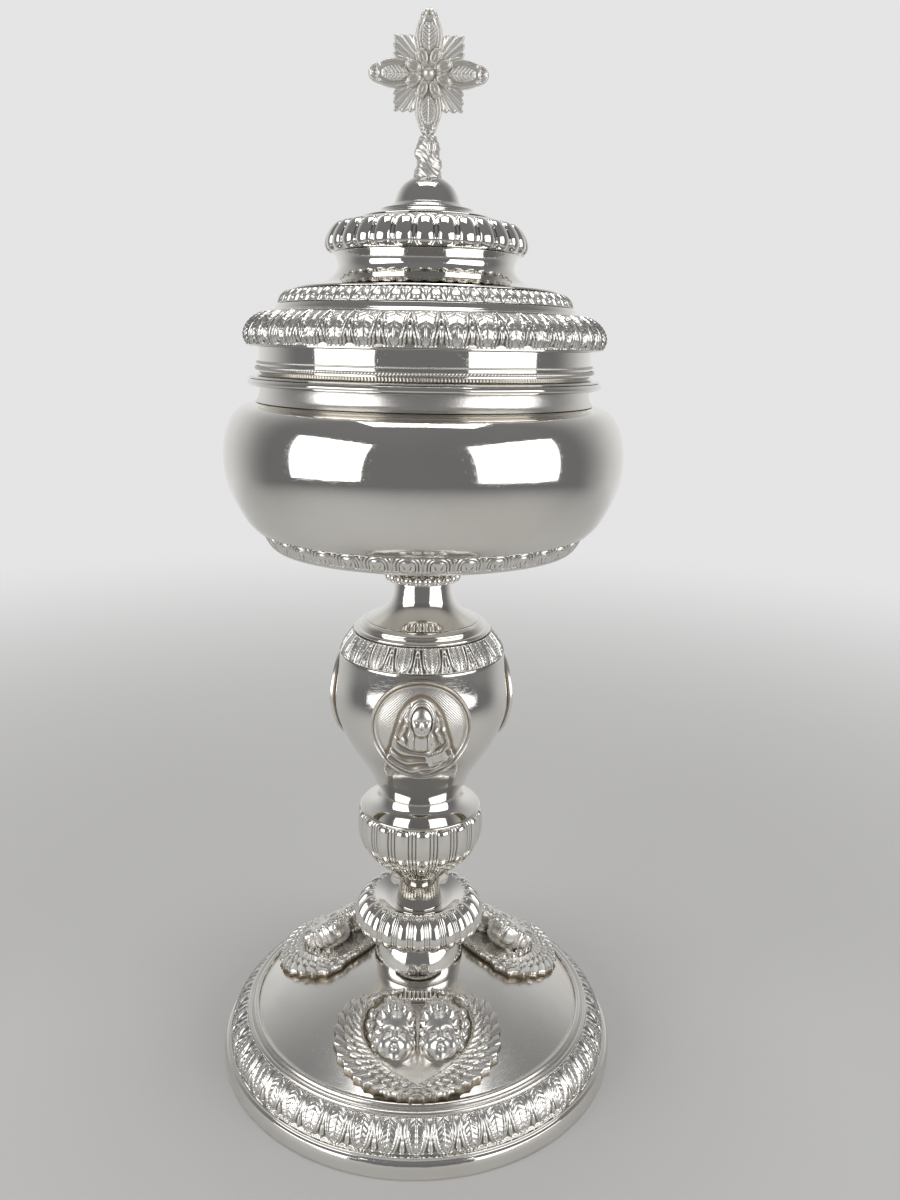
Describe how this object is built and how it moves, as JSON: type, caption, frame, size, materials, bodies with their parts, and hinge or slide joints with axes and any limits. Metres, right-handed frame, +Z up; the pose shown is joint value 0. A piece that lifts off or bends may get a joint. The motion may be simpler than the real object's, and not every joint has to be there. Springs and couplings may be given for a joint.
{
  "type": "ciborium",
  "caption": "Covered silver ciborium: round foot with cherub mounts, gadrooned stem, vase knop with medallions, wide bowl, and a stepped lid with a cross.",
  "frame": {"origin": "centre of the foot, on the surface that it stands on", "axes": "+Z up the stem to the cross; -Y is the front, where one cherub mount, one medallion and one face of the cross look; +X is to the right as seen from the front"},
  "size_m": [0.1208, 0.1208, 0.294],
  "materials": {
    "polished_silver": "mirror-polished old silver with fine scratches",
    "frosted_silver": "stamped and frosted silver, tarnished in the recesses",
    "cast_silver": "cast and chased silver, golden-brown tarnish in the recesses",
    "plain_steel": "turned steel"
  },
  "bodies": {
    "vessel": {"foot_rim": "polished_silver", "foot_shell": "polished_silver", "foot_leaf_border": "frosted_silver", "base_boss": "polished_silver", "cherub_mount_front": "cast_silver", "cherub_mount_right": "cast_silver", "cherub_mount_left": "cast_silver", "gadroon_dish": "polished_silver", "stem_neck": "polished_silver", "gadroon_cup": "polished_silver", "vase_knop": "polished_silver", "knop_leaf_border": "frosted_silver", "knop_shoulder": "polished_silver", "stem_flare": "polished_silver", "bead_ring": "polished_silver", "medallion_front": "cast_silver", "medallion_right": "cast_silver", "medallion_left": "cast_silver", "tie_rod": "plain_steel", "rod_washer": "plain_steel", "rod_nut": "plain_steel", "bowl_stud": "plain_steel", "bowl_calyx": "polished_silver", "bowl_arch_border": "frosted_silver", "bowl": "polished_silver", "bowl_neck": "frosted_silver", "bowl_rim": "polished_silver"},
    "lid": {"lid_collar": "polished_silver", "lower_collar_wire": "frosted_silver", "upper_collar_wire": "frosted_silver", "lid_body": "polished_silver", "lid_leaf_border": "frosted_silver", "lid_stroke_border": "frosted_silver", "lid_scotia": "polished_silver", "lid_gadroon_ring": "polished_silver", "lid_cap": "polished_silver", "finial_knot": "cast_silver", "cross_finial": "cast_silver", "finial_stud": "plain_steel", "finial_washer": "plain_steel", "finial_nut": "plain_steel"}
  },
  "joints": [
    {"name": "lid_lift", "type": "slide", "parent": "vessel", "child": "lid", "axis": [0, 0, 1], "range_m": [0, 0.05]}
  ]
}
